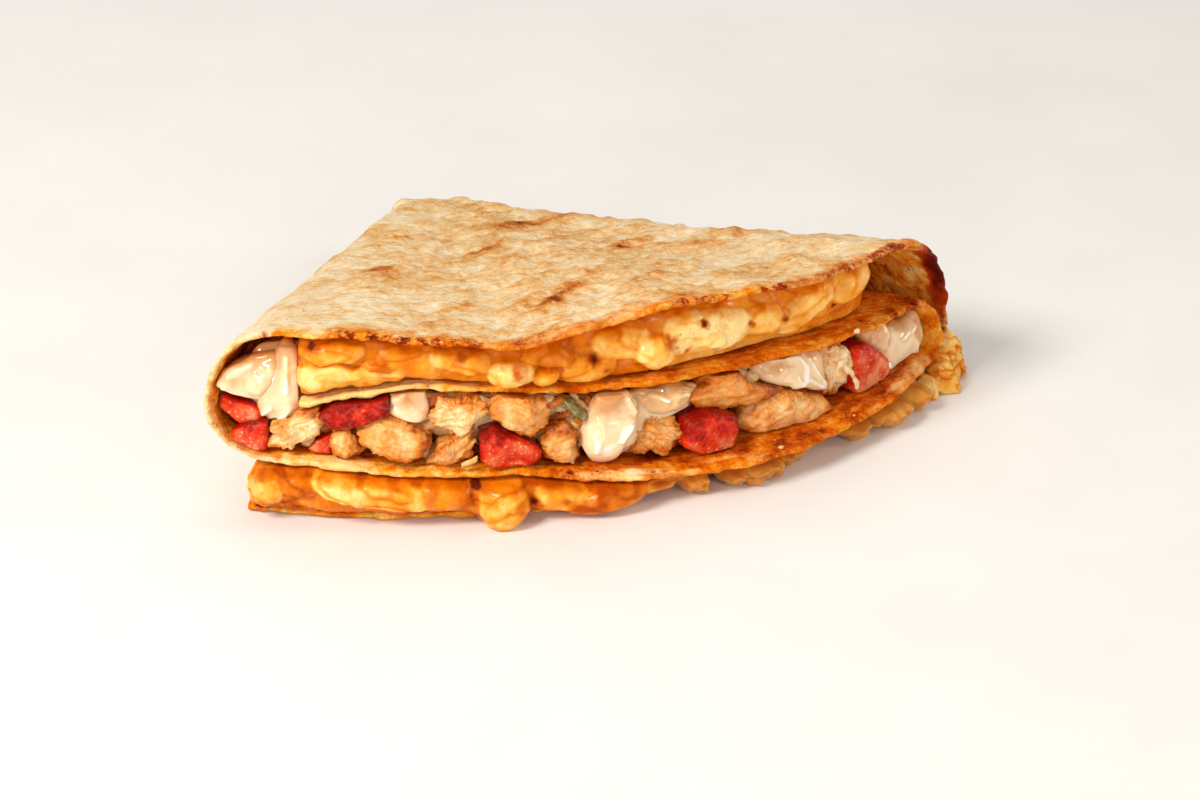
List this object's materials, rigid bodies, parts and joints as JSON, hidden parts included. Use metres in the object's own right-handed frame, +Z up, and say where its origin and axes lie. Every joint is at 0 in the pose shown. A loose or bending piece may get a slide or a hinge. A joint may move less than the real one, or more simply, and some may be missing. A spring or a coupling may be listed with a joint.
{
  "type": "toasted chicken wrap",
  "caption": "Round flour tortilla folded in quarters over melted cheese, chicken, tomato and white sauce, toasted, with the filling showing along its open arc.",
  "frame": {"origin": "on the surface that the wrap lies on, under the middle of its bounding box", "axes": "+Z up, +Y from the open arc towards the folded tip, +X to the right seen from the open arc"},
  "size_m": [0.1674, 0.1284, 0.0422],
  "materials": {
    "toasted_tortilla": "dry baked flour dough with golden and brown toast marks, slightly oily",
    "melted_cheese": "glossy melted cheese, translucent, with browned spots",
    "chicken": "moist cooked chicken with fibres and browned edges",
    "tomato": "wet diced tomato",
    "white_sauce": "smooth glossy sauce",
    "green_pepper": "cooked green pepper, moist"
  },
  "bodies": {
    "root": {"cheese_lower": "melted_cheese", "cheese_upper": "melted_cheese", "chicken_flakes": "chicken", "chicken_frayed": "chicken", "chicken_large": "chicken", "chicken_left": "chicken", "chicken_low": "chicken", "chicken_round": "chicken", "chicken_shreds": "chicken", "chicken_slice": "chicken", "chicken_small": "chicken", "chicken_smooth": "chicken", "chicken_strands": "chicken", "filling": "chicken", "pepper_green": "green_pepper", "sauce_bead": "white_sauce", "sauce_drop": "white_sauce", "sauce_pool_left": "white_sauce", "sauce_pool_right": "white_sauce", "sauce_run_left": "white_sauce", "sauce_spill": "white_sauce", "sauce_spread": "white_sauce", "tomato_end": "tomato", "tomato_left": "tomato", "tomato_left_back": "tomato", "tomato_long": "tomato", "tomato_middle": "tomato", "tomato_right": "tomato", "tomato_small": "tomato", "tortilla": "toasted_tortilla"}
  },
  "joints": []
}
